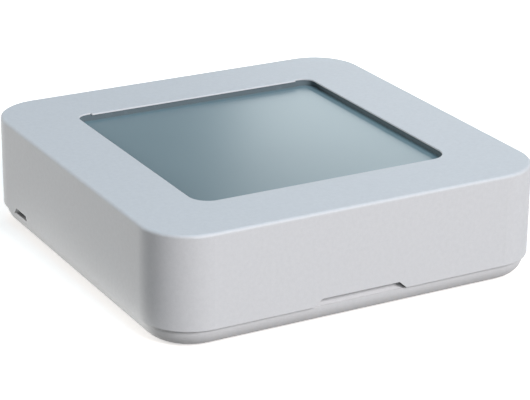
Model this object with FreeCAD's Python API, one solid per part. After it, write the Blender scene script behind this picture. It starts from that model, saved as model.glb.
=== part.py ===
import FreeCAD, Part
import math
import os

# A pocket room-climate and air quality monitor: a square case with a sunken
# segment display, a clip-on rear cover, a coin cell and two air sensors.
# It lies on its back. Origin: centre of the back face. +Z points out of the
# display, -Y is the side with the pry notch, +X is to the right of the reader.
# All sizes are in millimetres.

V = FreeCAD.Vector

# ---- for cutting and joining shapes ----
past = 1.0  # a cutter reaches this far past the faces that it opens
sunk = 0.2  # a joined piece starts this deep inside its neighbour
near = 0.1  # edges closer than this to a place belong to it
slot_end_share = 0.49  # nearly half a slot's width, which rounds its ends

# ---- case ----
body_width = 55.0
body_depth = 55.0
body_height = 15.0
corner_radius = 6.7
side_wall = 1.6
face_thickness = 1.6
top_edge_radius = 0.45
seam_height = 2.55
seam_gap = 0.10
seam_edge_radius = 0.15

# ---- window in the face ----
window_width = 36.3
window_depth = 36.2
window_front_radius = 2.6
window_back_radius = 1.8
lip_thickness = 0.20
lip_edge_radius = 0.10
back_relief_depth = 0.45
back_relief_width = 2.3
back_relief_radius = 0.18

# ---- display stack, from the face downward ----
gasket_thickness = 0.80
gasket_width = 1.15
gasket_setback = 0.22
polariser_thickness = 0.12
polariser_border = 1.00
polariser_right_border = 1.30
glass_thickness = 0.55
glass_border = 1.50
glass_corner_radius = 0.4
glass_clearance = 0.20
contact_ledge = 2.40
rear_glass_inset = 0.60
reflector_thickness = 0.25
reflector_inset = 1.2
display_gap = 1.20
frame_wall = 1.5
frame_corner_radius = 1.0
zebra_width = 2.0
zebra_clearance = 0.10
zebra_end_gap = 1.0
well_clearance = 0.10
peg_radius = 0.60
peg_protrusion = 0.35
peg_offset = 10.0

# ---- circuit board ----
board_thickness = 1.0
board_clearance = 0.60
board_corner_radius = 4.5
hole_clearance = 0.10
boss_radius = 1.9
boss_wall_gap = 0.35
boss_row = 14.0
sensor_boss_row = 6.0
pilot_radius = 0.75
pilot_depth_in_face = 0.5
screw_head_radius = 1.45
screw_head_height = 0.9
screw_tip_gap = 0.3
recess_width = 0.4
recess_depth = 0.45
recess_length = 1.74
screw_head_edge = 0.36

# ---- coin cell and its holder ----
cell_diameter = 24.5
cell_height = 5.0
cap_diameter = 21.0
cap_step = 0.5
cap_edge_radius = 0.35
can_edge_radius = 0.5
seal_floor = 0.30
cell_metal = 0.25
cell_centre_y = -4.0
contact_height = 1.6
holder_clearance = 0.20
holder_wall = 1.5
holder_base = 0.6
holder_wall_reach = 4.2
holder_side_gap = 6.2
finger_slot_width = 11.0
contact_side_gap = 0.20
clip_width = 5.0
clip_thickness = 0.30
clip_clearance = 0.05
clip_grip = 3.5
clip_foot_length = 3.0
leaf_width = 3.2
leaf_thickness = 0.25
leaf_foot_length = 4.0
leaf_reach = 9.0
leaf_tip_length = 2.0
leaf_end_gap = 0.5
leaf_tip_gap = 0.05

# ---- rear cover ----
cover_inset = 0.45
cover_edge_radius = 2.4
floor_thickness = 1.6
rim_clearance = 0.15
rim_wall = 1.2
rim_height = 3.0
ring_radius = 9.0
ring_wall = 1.0
ring_gap = 0.12
pad_radius = 7.0
pad_gap = 0.05
hook_width = 5.0
hook_height = 0.8
hook_reach = 0.30
hook_drop = 0.35
hook_tip_drop = 0.27
hook_tip_land = 0.13
hook_channel_clearance = 0.10
hook_channel_side_gap = 0.20
hook_row = 14.0

# ---- pry notch and air inlet ----
notch_height = 1.02
pry_x = -0.5
pry_top_width = 11.1
pry_base_width = 13.4
inlet_top_width = 3.2
inlet_base_width = 4.7
inlet_y = 16.0
rim_gap_width = 6.0
air_pocket_depth = 0.85
air_pocket_reach = 0.80
notch_corner_radius = 0.35
pry_ramp_height = 1.00
pry_ramp_land = 0.10
pry_ramp_end_gap = 0.12

# ---- sensors and their chamber ----
duct_depth = 8.6
duct_wall = 1.2
duct_inner_width = 7.2
duct_rim_gap = 0.30
duct_floor_gap = 0.30
mesh_thickness = 0.30
mesh_hole_radius = 0.22
mesh_pitch = 0.75
mesh_columns = 8
mesh_rows = 4
mesh_first_row = 0.10
sensor_size = 3.0
sensor_height = 0.9
sensor_port_radius = 0.5
sensor_port_depth = 0.45
sensor_spacing = 3.6
humidity_size = 2.5
humidity_window_radius = 0.6
humidity_window_depth = 0.27
slot_width = 1.0
sensor_capacitor_gap = 3.2
sensor_capacitor_spacing = 2.4

# ---- other parts on the board ----
processor_size = 6.0
processor_height = 0.9
processor_edge = 0.10
capacitor_gap = 1.3
driver_size = 7.0
driver_body = 6.0
driver_height = 0.9
driver_lead_width = 0.3
driver_lead_thickness = 0.2
driver_leads = 8
driver_lift = 0.1
driver_edge = 0.2
crystal_length = 3.2
crystal_width = 1.5
crystal_height = 0.8
crystal_corner_radius = 0.30
crystal_gap = 3.0
antenna_length = 7.0
antenna_width = 2.0
antenna_height = 1.1
antenna_edge_gap = 0.6
resistor_gap = 2.4
chip_length = 1.0
chip_width = 0.5
chip_height = 0.5
chip_edge_radius = 0.06
chip_spacing = 1.8
resistor_count = 4
switch_size = 4.5
switch_height = 1.6
button_radius = 1.0
button_stem = 0.9
button_clearance = 0.06
button_well = 0.7
button_room = 0.35
button_edge_radius = 0.15

# ---- places worked out from the sizes above ----
cavity_width = body_width - 2 * side_wall
cavity_depth = body_depth - 2 * side_wall
cavity_radius = corner_radius - side_wall
face_underside = body_height - face_thickness
window_left = -window_width / 2
window_right = window_width / 2
window_front = -window_depth / 2
window_back = window_depth / 2
window_back_corner = window_back + back_relief_depth
gasket_top = body_height - lip_thickness
glass_top = gasket_top - gasket_thickness
front_glass_bottom = glass_top - glass_thickness
rear_glass_bottom = front_glass_bottom - glass_thickness
reflector_bottom = rear_glass_bottom - reflector_thickness
board_top = reflector_bottom - display_gap
board_bottom = board_top - board_thickness
glass_left = window_left - glass_border
glass_right = window_right + glass_border
glass_back = window_back_corner + glass_border
rear_glass_front = window_front - glass_border
glass_front = rear_glass_front - contact_ledge
board_width = cavity_width - 2 * board_clearance
board_depth = cavity_depth - 2 * board_clearance
boss_x = cavity_width / 2 - boss_wall_gap - boss_radius
boss_places = [
    (-boss_x, -boss_row),
    (boss_x, -boss_row),
    (boss_x, boss_row),
    (-boss_x, sensor_boss_row),
]
cell_radius = cell_diameter / 2
cell_top = board_bottom - contact_height
cell_bottom = cell_top - cell_height
holder_inner = cell_radius + holder_clearance
holder_outer = holder_inner + holder_wall
cell_x = board_width / 2 - holder_side_gap - holder_outer
cover_top = seam_height - seam_gap
rim_outer_width = cavity_width - 2 * rim_clearance
rim_outer_depth = cavity_depth - 2 * rim_clearance
rim_inner_width = rim_outer_width - 2 * rim_wall
rim_inner_depth = rim_outer_depth - 2 * rim_wall
rim_top = seam_height + rim_height
hook_top = rim_top - hook_drop
duct_left = -rim_inner_width / 2 + duct_rim_gap
duct_right = duct_left + duct_depth
duct_bottom = floor_thickness + duct_floor_gap
sensor_x = (duct_left + mesh_thickness + duct_right - duct_wall) / 2
side_column_x = (-board_width / 2 + cell_x - holder_outer) / 2
frame_left = glass_left - glass_clearance - frame_wall
frame_right = glass_right + glass_clearance + frame_wall
frame_back = glass_back + glass_clearance + frame_wall
frame_front = glass_front - glass_clearance - frame_wall
zebra_y = (glass_front + rear_glass_front) / 2
zebra_length = window_width - 2 * zebra_end_gap
peg_places = [
    (-peg_offset, (frame_back + glass_back) / 2),
    (peg_offset, (frame_front + glass_front) / 2),
]
switch_y = -18.0


def block(x0, x1, y0, y1, z0, z1):
    return Part.makeBox(x1 - x0, y1 - y0, z1 - z0, V(x0, y0, z0))


def cylinder(radius, bottom, top, x=0.0, y=0.0):
    return Part.makeCylinder(radius, top - bottom, V(x, y, bottom))


def upright_edges(shape):
    return [e for e in shape.Edges if e.BoundBox.ZLength > 1e-3]


def rounded_block(x0, x1, y0, y1, z0, z1, radius):
    box = block(x0, x1, y0, y1, z0, z1)
    return box.makeFillet(radius, upright_edges(box))


def rounded_plate(width, depth, radius, bottom, top):
    half_w, half_d = width / 2, depth / 2
    return rounded_block(-half_w, half_w, -half_d, half_d, bottom, top, radius)


def edges_on_level(shape, level):
    picked = []
    for edge in shape.Edges:
        box = edge.BoundBox
        if abs(box.ZMin - level) < 1e-4 and abs(box.ZMax - level) < 1e-4:
            picked.append(edge)
    return picked


def prism(outline, direction):
    wire = Part.makePolygon(outline + outline[:1])
    return Part.Face(wire).extrude(direction)


def window_opening(bottom, top):
    """The opening in the face. Its back edge steps out beside each corner."""
    box = block(window_left, window_right, window_front, window_back_corner, bottom, top)
    front = [e for e in upright_edges(box) if e.BoundBox.YMax < 0]
    opening = box.makeFillet(window_front_radius, front)
    back = [e for e in upright_edges(opening) if e.BoundBox.YMin > window_back]
    opening = opening.makeFillet(window_back_radius, back)
    tab_half = window_width / 2 - back_relief_width
    tab = rounded_block(-tab_half, tab_half, window_back, window_back + 2 * back_relief_depth,
                        bottom, top, back_relief_radius)
    return opening.cut(tab)


def notch_outline(base_width, top_width, overshoot):
    """Slanted ends: a trapezoid from below the seam to the notch's flat top."""
    slope = (base_width - top_width) / 2 / notch_height
    low = base_width / 2 + slope * overshoot
    high = top_width / 2
    return [(-low, -overshoot), (low, -overshoot), (high, notch_height), (-high, notch_height)]


def soften_notch(cutter, axis_length):
    level = seam_height + notch_height
    long_edges = [e for e in edges_on_level(cutter, level) if abs(e.Length - axis_length) < near]
    return cutter.makeFillet(notch_corner_radius, long_edges)


def pry_notch_cutter():
    depth = side_wall + 2 * past
    y_start = -body_depth / 2 - past
    outline = notch_outline(pry_base_width, pry_top_width, past)
    points = [V(pry_x + x, y_start, seam_height + z) for x, z in outline]
    return soften_notch(prism(points, V(0, depth, 0)), depth)


def inlet_notch_cutter():
    depth = side_wall + 2 * past
    x_start = -body_width / 2 - past
    outline = notch_outline(inlet_base_width, inlet_top_width, past)
    points = [V(x_start, inlet_y + y, seam_height + z) for y, z in outline]
    return soften_notch(prism(points, V(depth, 0, 0)), depth)


def hook_places():
    """Centre and outward direction of each clip hook on the rim."""
    half_w, half_d = rim_outer_width / 2, rim_outer_depth / 2
    places = []
    for along in (-hook_row, hook_row):
        places.append((along, -half_d, 0, -1))
        places.append((along, half_d, 0, 1))
    places.append((half_w, 0.0, 1, 0))
    places.append((-half_w, 0.0, -1, 0))
    return places


def beside_rim(place, inward, outward, width, bottom, top):
    """A block on the rim's outer face, reaching inward and outward from it."""
    x, y, nx, ny = place
    if ny:
        y0, y1 = sorted((y - ny * inward, y + ny * outward))
        return block(x - width / 2, x + width / 2, y0, y1, bottom, top)
    x0, x1 = sorted((x - nx * inward, x + nx * outward))
    return block(x0, x1, y - width / 2, y + width / 2, bottom, top)


def hook_channels():
    reach = rim_clearance + hook_reach + hook_channel_clearance
    width = hook_width + 2 * hook_channel_side_gap
    top = hook_top + hook_channel_clearance
    return [beside_rim(p, rim_clearance, reach, width, seam_height - past, top) for p in hook_places()]


def make_front_housing():
    shell = rounded_plate(body_width, body_depth, corner_radius, seam_height, body_height)
    shell = shell.makeFillet(top_edge_radius, edges_on_level(shell, body_height))
    shell = shell.makeFillet(seam_edge_radius, edges_on_level(shell, seam_height))
    cavity = rounded_plate(cavity_width, cavity_depth, cavity_radius, seam_height - past, face_underside)
    shell = shell.cut(cavity)
    glass_pocket = rounded_block(glass_left - glass_clearance, glass_right + glass_clearance,
                                 glass_front - glass_clearance, glass_back + glass_clearance,
                                 face_underside - past, glass_top, glass_corner_radius)
    reach = gasket_setback + gasket_width + gasket_setback
    gasket_pocket = rounded_block(window_left - reach, window_right + reach,
                                  window_front - reach, window_back_corner + reach,
                                  glass_top - sunk, gasket_top, window_front_radius)
    shell = shell.cut(glass_pocket.fuse(gasket_pocket))
    shell = shell.cut(window_opening(glass_top - past, body_height + past))
    lip = [e for e in edges_on_level(shell, body_height) if e.BoundBox.XMax < window_right + near
           and e.BoundBox.XMin > window_left - near and abs(e.BoundBox.YMax) < window_back_corner + near]
    shell = shell.makeFillet(lip_edge_radius, lip)
    for x, y in boss_places:
        shell = shell.fuse(cylinder(boss_radius, board_top, face_underside + sunk, x, y))
    for x, y in boss_places:
        pilot_end = face_underside + pilot_depth_in_face
        shell = shell.cut(cylinder(pilot_radius, board_top - past, pilot_end, x, y))
    return shell.cut([pry_notch_cutter(), inlet_notch_cutter()] + hook_channels())


def hook_bead(place):
    """A wedge on the rim, sloped above and below a narrow tip, so that it rides in and lets go."""
    x, y, nx, ny = place
    tip_top = hook_top - hook_tip_drop
    wedge = [V(-sunk, 0, hook_top - hook_height), V(0, 0, hook_top - hook_height),
             V(hook_reach, 0, tip_top - hook_tip_land), V(hook_reach, 0, tip_top),
             V(0, 0, hook_top), V(-sunk, 0, hook_top)]
    bead = prism(wedge, V(0, hook_width, 0))
    bead.translate(V(0, -hook_width / 2, 0))
    bead.rotate(V(0, 0, 0), V(0, 0, 1), math.degrees(math.atan2(ny, nx)))
    bead.translate(V(x, y, 0))
    return bead


def pry_ramp():
    """A slope on the cover that fills the pry notch and leads a fingernail under the shell."""
    x = pry_x - pry_base_width / 2
    edge = -body_depth / 2 + cover_inset + pry_ramp_land
    rim_face = -rim_outer_depth / 2 + sunk
    outline = [V(x, edge, cover_top - sunk), V(x, edge, cover_top),
               V(x, rim_face, cover_top + pry_ramp_height), V(x, rim_face, cover_top - sunk)]
    slope = prism(outline, V(pry_base_width, 0, 0))
    ends = notch_outline(pry_base_width - 2 * pry_ramp_end_gap, pry_top_width - 2 * pry_ramp_end_gap,
                         seam_gap + 2 * sunk)
    room = prism([V(pry_x + x, edge - past, seam_height + z) for x, z in ends],
                 V(0, rim_face - edge + 2 * past, 0))
    return slope.common(room)


def make_rear_cover():
    width = body_width - 2 * cover_inset
    depth = body_depth - 2 * cover_inset
    tray = rounded_plate(width, depth, corner_radius - cover_inset, 0, cover_top)
    tray = tray.makeFillet(cover_edge_radius, edges_on_level(tray, 0))
    rim = rounded_plate(rim_outer_width, rim_outer_depth, cavity_radius - rim_clearance,
                        floor_thickness, rim_top)
    inside = rounded_plate(rim_inner_width, rim_inner_depth, cavity_radius - rim_clearance - rim_wall,
                           floor_thickness, rim_top + past)
    cover = tray.fuse(rim).cut(inside)
    rim_face = -rim_outer_width / 2
    air_gap = block(rim_face - air_pocket_reach, rim_face + rim_wall + sunk,
                    inlet_y - rim_gap_width / 2, inlet_y + rim_gap_width / 2,
                    cover_top - air_pocket_depth, rim_top + past)
    cover = cover.cut(air_gap)
    ring_top = cell_bottom - ring_gap
    ring = cylinder(ring_radius, floor_thickness - sunk, ring_top, cell_x, cell_centre_y)
    ring = ring.cut(cylinder(ring_radius - ring_wall, floor_thickness - past, ring_top + past,
                             cell_x, cell_centre_y))
    return cover.fuse([ring, pry_ramp()] + [hook_bead(p) for p in hook_places()]).removeSplitter()


def make_display_gasket():
    inner = gasket_setback
    outer = gasket_setback + gasket_width
    ring = rounded_block(window_left - outer, window_right + outer, window_front - outer,
                         window_back_corner + outer, glass_top, gasket_top, window_front_radius)
    hole = rounded_block(window_left - inner, window_right + inner, window_front - inner,
                         window_back + inner, glass_top - past, gasket_top + past, window_back_radius)
    return ring.cut(hole)


def make_front_polariser():
    return rounded_block(window_left + polariser_border, window_right - polariser_right_border,
                         window_front + polariser_border, window_back - polariser_border,
                         glass_top, glass_top + polariser_thickness, glass_corner_radius)


def make_lcd_front_glass():
    return rounded_block(glass_left, glass_right, glass_front, glass_back,
                         front_glass_bottom, glass_top, glass_corner_radius)


def make_lcd_rear_glass():
    inset = rear_glass_inset
    return rounded_block(glass_left + inset, glass_right - inset, rear_glass_front, glass_back - inset,
                         rear_glass_bottom, front_glass_bottom, glass_corner_radius)


def make_lcd_reflector():
    inset = reflector_inset
    return rounded_block(glass_left + inset, glass_right - inset, rear_glass_front + inset,
                         glass_back - inset, reflector_bottom, rear_glass_bottom, glass_corner_radius)


def make_zebra_strip():
    half_w = zebra_length / 2
    half_d = zebra_width / 2
    return block(-half_w, half_w, zebra_y - half_d, zebra_y + half_d, board_top, front_glass_bottom)


def make_display_frame():
    """Holds the glass against the gasket and stands on the board."""
    outer = rounded_block(frame_left, frame_right, frame_front, frame_back,
                          board_top, face_underside, frame_corner_radius)
    ledge = rounded_block(glass_left, glass_right, glass_front, glass_back,
                          face_underside - sunk, front_glass_bottom, glass_corner_radius)
    inset = rear_glass_inset - well_clearance
    low, high = board_top - past, front_glass_bottom + past
    well = block(glass_left + inset, glass_right - inset, rear_glass_front - well_clearance,
                 glass_back - inset, low, high)
    half_w = zebra_length / 2 + zebra_clearance
    half_d = zebra_width / 2 + zebra_clearance
    slot = block(-half_w, half_w, zebra_y - half_d, zebra_y + half_d, low, high)
    frame = outer.fuse(ledge).cut([well, slot])
    boss_room = boss_radius + hole_clearance
    frame = frame.cut([cylinder(boss_room, low, high, x, y) for x, y in boss_places])
    pegs = [cylinder(peg_radius, board_bottom - peg_protrusion, board_top + sunk, x, y)
            for x, y in peg_places]
    return frame.fuse(pegs).removeSplitter()


def make_circuit_board():
    board = rounded_plate(board_width, board_depth, board_corner_radius, board_bottom, board_top)
    low, high = board_bottom - past, board_top + past
    holes = [cylinder(pilot_radius + hole_clearance, low, high, x, y) for x, y in boss_places]
    holes += [cylinder(peg_radius + hole_clearance, low, high, x, y) for x, y in peg_places]
    slot_x = duct_right + slot_width / 2
    slot_low = inlet_y - duct_inner_width / 2
    slot_high = inlet_y + duct_inner_width / 2
    holes.append(rounded_block(slot_x, slot_x + slot_width, slot_low, slot_high,
                               low, high, slot_end_share * slot_width))
    return board.cut(holes)


def board_screw(x, y):
    head_top = board_bottom
    head_bottom = board_bottom - screw_head_height
    head = cylinder(screw_head_radius, head_bottom, head_top, x, y)
    head = head.makeFillet(screw_head_edge, edges_on_level(head, head_bottom))
    tip = face_underside + pilot_depth_in_face - screw_tip_gap
    shank = cylinder(pilot_radius, head_top - sunk, tip, x, y)
    half = recess_length / 2
    bottom = head_bottom - past
    top = head_bottom + recess_depth
    w = recess_width / 2
    cross = block(x - half, x + half, y - w, y + w, bottom, top)
    cross = cross.fuse(block(x - w, x + w, y - half, y + half, bottom, top))
    return head.fuse(shank).cut(cross).removeSplitter()


def make_board_screws():
    return Part.makeCompound([board_screw(x, y) for x, y in boss_places])


def make_cell_holder():
    wall_bottom = board_bottom - contact_height - holder_wall_reach
    body = cylinder(holder_outer, wall_bottom, board_bottom, cell_x, cell_centre_y)
    low, high = wall_bottom - past, board_bottom - holder_base
    well = cylinder(holder_inner, low, high, cell_x, cell_centre_y)
    clip_half = clip_width / 2 + contact_side_gap
    clip_slot = block(cell_x - clip_half, cell_x + clip_half, cell_centre_y + cell_radius - past,
                      cell_centre_y + holder_outer + past, low, board_bottom + past)
    finger_half = finger_slot_width / 2
    finger_slot = block(cell_x - holder_outer - past, cell_x, cell_centre_y - finger_half,
                        cell_centre_y + finger_half, low, high)
    leaf_half = leaf_width / 2 + contact_side_gap
    leaf_slot = block(cell_x - leaf_tip_length - leaf_end_gap, cell_x + leaf_reach + leaf_end_gap,
                      cell_centre_y - leaf_half, cell_centre_y + leaf_half, high - past,
                      board_bottom + past)
    return body.cut([well, clip_slot, finger_slot, leaf_slot])


def make_positive_contact():
    """A springy strip beside the cell, with its foot flat on the board."""
    inner = cell_centre_y + cell_radius + clip_clearance
    half = clip_width / 2
    strip = block(cell_x - half, cell_x + half, inner, inner + clip_thickness,
                  cell_top - clip_grip, board_bottom)
    foot = block(cell_x - half, cell_x + half, inner, inner + clip_foot_length,
                 board_bottom - clip_thickness, board_bottom)
    return strip.fuse(foot).removeSplitter()


def make_negative_contact():
    """A leaf that leans from its foot on the board to the middle of the cell."""
    t = leaf_thickness
    foot_end = cell_x + leaf_reach
    foot_start = foot_end - leaf_foot_length
    leaf_end = cell_x - leaf_tip_length
    top, tip = board_bottom, cell_top + leaf_tip_gap
    outline = [V(foot_end, 0, top), V(foot_start, 0, top), V(cell_x, 0, tip + t),
               V(leaf_end, 0, tip + 2 * t), V(leaf_end, 0, tip + t), V(cell_x, 0, tip),
               V(foot_start, 0, top - t), V(foot_end, 0, top - t)]
    leaf = prism(outline, V(0, leaf_width, 0))
    leaf.translate(V(0, cell_centre_y - leaf_width / 2, 0))
    return leaf


def make_coin_cell_can():
    can_top = cell_top - cap_step
    can = cylinder(cell_radius, cell_bottom, can_top, cell_x, cell_centre_y)
    can = can.makeFillet(can_edge_radius, edges_on_level(can, cell_bottom))
    hollow = cylinder(cell_radius - cell_metal, cell_bottom + cell_metal, can_top + past,
                      cell_x, cell_centre_y)
    return can.cut(hollow)


def make_coin_cell_cap():
    bottom = cell_bottom + cell_metal + seal_floor
    cap = cylinder(cap_diameter / 2, bottom, cell_top, cell_x, cell_centre_y)
    return cap.makeFillet(cap_edge_radius, edges_on_level(cap, cell_top))


def make_coin_cell_seal():
    outer = cell_radius - cell_metal
    can_top = cell_top - cap_step
    ring = cylinder(outer, cell_bottom + cell_metal, can_top, cell_x, cell_centre_y)
    return ring.cut(cylinder(cap_diameter / 2, cell_bottom + cell_metal + seal_floor, can_top + past,
                             cell_x, cell_centre_y))


def make_cell_pad():
    return cylinder(pad_radius, floor_thickness, cell_bottom - pad_gap, cell_x, cell_centre_y)


def make_sensor_duct():
    """A rubber boot of three walls that close the sensor corner off from the rest."""
    half = duct_inner_width / 2
    outer = block(duct_left, duct_right, inlet_y - half - duct_wall, inlet_y + half + duct_wall,
                  duct_bottom, board_bottom)
    inner = block(duct_left - past, duct_right - duct_wall, inlet_y - half, inlet_y + half,
                  duct_bottom - past, board_bottom + past)
    return outer.cut(inner)


def make_inlet_mesh():
    half = duct_inner_width / 2
    plate = block(duct_left, duct_left + mesh_thickness, inlet_y - half, inlet_y + half,
                  duct_bottom, board_bottom)
    first_z = seam_height + mesh_first_row
    holes = []
    for column in range(mesh_columns):
        y = inlet_y + (column - (mesh_columns - 1) / 2) * mesh_pitch
        for row in range(mesh_rows):
            z = first_z + row * mesh_pitch
            start = V(duct_left - past, y, z)
            holes.append(Part.makeCylinder(mesh_hole_radius, mesh_thickness + 2 * past, start, V(1, 0, 0)))
    return plate.cut(holes)


def hanging_chip(size_x, size_y, height, x, y):
    return block(x - size_x / 2, x + size_x / 2, y - size_y / 2, y + size_y / 2,
                 board_bottom - height, board_bottom)


def make_gas_sensor():
    y = inlet_y + sensor_spacing / 2
    body = hanging_chip(sensor_size, sensor_size, sensor_height, sensor_x, y)
    face = board_bottom - sensor_height
    return body.cut(cylinder(sensor_port_radius, face - past, face + sensor_port_depth, sensor_x, y))


def make_humidity_sensor():
    y = inlet_y - sensor_spacing / 2
    body = hanging_chip(humidity_size, humidity_size, sensor_height, sensor_x, y)
    face = board_bottom - sensor_height
    return body.cut(cylinder(humidity_window_radius, face - past, face + humidity_window_depth, sensor_x, y))


def make_microcontroller():
    body = hanging_chip(processor_size, processor_size, processor_height, side_column_x, cell_centre_y)
    return body.makeChamfer(processor_edge, edges_on_level(body, board_bottom - processor_height))


def make_crystal():
    y = cell_centre_y - processor_size / 2 - crystal_gap
    can = hanging_chip(crystal_length, crystal_width, crystal_height, side_column_x, y)
    return can.makeFillet(crystal_corner_radius, upright_edges(can))


def make_chip_antenna():
    y = board_depth / 2 - antenna_width / 2 - antenna_edge_gap
    return hanging_chip(antenna_length, antenna_width, antenna_height, cell_x, y)


def make_lcd_driver():
    """A flat package with leads on all four sides, on the display side."""
    half = driver_body / 2
    body = block(-half, half, -half, half, board_top + driver_lift, board_top + driver_height)
    body = body.makeChamfer(driver_edge, edges_on_level(body, board_top + driver_height))
    pitch = driver_body / (driver_leads + 1)
    leads = []
    for i in range(driver_leads):
        along = -half + pitch * (i + 1)
        for quarter in range(4):
            lead = block(half - sunk, driver_size / 2, along - driver_lead_width / 2,
                         along + driver_lead_width / 2, board_top, board_top + driver_lead_thickness)
            lead.rotate(V(0, 0, 0), V(0, 0, 1), 90 * quarter)
            leads.append(lead)
    return body.fuse(leads)


def two_pole_chip(x, y, turned):
    length, width = (chip_width, chip_length) if turned else (chip_length, chip_width)
    chip = hanging_chip(length, width, chip_height, x, y)
    return chip.makeFillet(chip_edge_radius, chip.Edges)


def make_chip_capacitors():
    reach = processor_size / 2 + capacitor_gap
    chips = []
    for step in (-chip_spacing, 0, chip_spacing):
        chips.append(two_pole_chip(side_column_x - reach, cell_centre_y + step, False))
        chips.append(two_pole_chip(side_column_x + step, cell_centre_y + reach, True))
    for step in (0, sensor_capacitor_spacing):
        chips.append(two_pole_chip(duct_right + sensor_capacitor_gap, inlet_y + step, True))
    return Part.makeCompound(chips)


def make_chip_resistors():
    y = board_depth / 2 - antenna_width - resistor_gap
    steps = [(i - (resistor_count - 1) / 2) * chip_spacing for i in range(resistor_count)]
    return Part.makeCompound([two_pole_chip(cell_x + step, y, True) for step in steps])


def make_set_switch():
    body = hanging_chip(switch_size, switch_size, switch_height, side_column_x, switch_y)
    well_top = board_bottom - switch_height + button_well
    well = cylinder(button_radius + button_clearance, board_bottom - switch_height - past, well_top,
                    side_column_x, switch_y)
    return body.cut(well)


def make_set_button():
    """The plunger. Above it the well leaves room for its travel."""
    bottom = board_bottom - switch_height - button_stem
    top = board_bottom - switch_height + button_well - button_room
    stem = cylinder(button_radius, bottom, top, side_column_x, switch_y)
    return stem.makeFillet(button_edge_radius, edges_on_level(stem, bottom))


makers = {
    "front_housing": make_front_housing,
    "rear_cover": make_rear_cover,
    "display_gasket": make_display_gasket,
    "front_polariser": make_front_polariser,
    "lcd_front_glass": make_lcd_front_glass,
    "lcd_rear_glass": make_lcd_rear_glass,
    "lcd_reflector": make_lcd_reflector,
    "zebra_strip": make_zebra_strip,
    "display_frame": make_display_frame,
    "circuit_board": make_circuit_board,
    "board_screws": make_board_screws,
    "cell_holder": make_cell_holder,
    "positive_contact": make_positive_contact,
    "negative_contact": make_negative_contact,
    "coin_cell_can": make_coin_cell_can,
    "coin_cell_cap": make_coin_cell_cap,
    "coin_cell_seal": make_coin_cell_seal,
    "cell_pad": make_cell_pad,
    "sensor_duct": make_sensor_duct,
    "inlet_mesh": make_inlet_mesh,
    "gas_sensor": make_gas_sensor,
    "humidity_sensor": make_humidity_sensor,
    "microcontroller": make_microcontroller,
    "crystal": make_crystal,
    "chip_antenna": make_chip_antenna,
    "lcd_driver": make_lcd_driver,
    "chip_capacitors": make_chip_capacitors,
    "chip_resistors": make_chip_resistors,
    "set_switch": make_set_switch,
    "set_button": make_set_button,
}

os.makedirs("parts", exist_ok=True)
for node, maker in makers.items():
    shape = maker()
    assert shape.isValid(), node
    shape.exportStep("parts/" + node + ".step")
    print(node, len(shape.Solids), round(shape.Volume, 2))
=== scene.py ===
# %% [markdown]
# # A pocket air quality monitor, finished in Blender
#
# The monitor is a square white case with a sunken display, lying on its back. Its shapes, joints and
# fits were settled in a CAD model. This lesson loads that model as a fixed frame, gives every piece
# its finish, and rebuilds by hand the small pieces whose CAD stand-ins are too plain.
# Everything is in metres. +Z points out of the display and -Y is the side with the pry notch.

# %% Load the frame
import math

import bmesh
import bpy
from mathutils import Matrix, Vector


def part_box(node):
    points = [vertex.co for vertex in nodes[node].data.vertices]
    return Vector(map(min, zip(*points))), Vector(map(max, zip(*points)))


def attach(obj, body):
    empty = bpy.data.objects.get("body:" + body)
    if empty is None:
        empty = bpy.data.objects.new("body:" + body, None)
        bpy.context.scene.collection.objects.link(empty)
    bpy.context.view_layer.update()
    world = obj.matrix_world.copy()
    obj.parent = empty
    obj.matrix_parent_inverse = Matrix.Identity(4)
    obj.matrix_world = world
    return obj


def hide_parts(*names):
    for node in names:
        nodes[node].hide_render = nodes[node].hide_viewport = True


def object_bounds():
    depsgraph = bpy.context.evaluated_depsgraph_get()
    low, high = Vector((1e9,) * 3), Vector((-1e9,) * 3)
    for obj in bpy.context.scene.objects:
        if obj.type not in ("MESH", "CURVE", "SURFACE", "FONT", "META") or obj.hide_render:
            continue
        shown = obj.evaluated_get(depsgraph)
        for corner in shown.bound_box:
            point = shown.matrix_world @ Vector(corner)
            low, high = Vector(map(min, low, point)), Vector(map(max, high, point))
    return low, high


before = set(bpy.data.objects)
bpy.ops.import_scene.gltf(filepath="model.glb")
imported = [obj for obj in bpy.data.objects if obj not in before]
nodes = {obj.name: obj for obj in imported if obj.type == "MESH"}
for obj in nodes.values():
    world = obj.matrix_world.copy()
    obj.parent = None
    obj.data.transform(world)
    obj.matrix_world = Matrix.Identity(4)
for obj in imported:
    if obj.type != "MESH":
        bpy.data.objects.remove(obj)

MM = 0.001
case_low, case_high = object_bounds()
case_width = case_high.x - case_low.x
print("nodes:", len(nodes), "case in mm:", [round(x / MM, 2) for x in case_high - case_low])

# %% [markdown]
# ## Maths on sockets
#
# A procedural finish is mostly arithmetic: a grain times a strength, one minus a mask. Wiring Math
# nodes by hand hides that, so a small class wraps a socket and overloads the operators.

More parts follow.
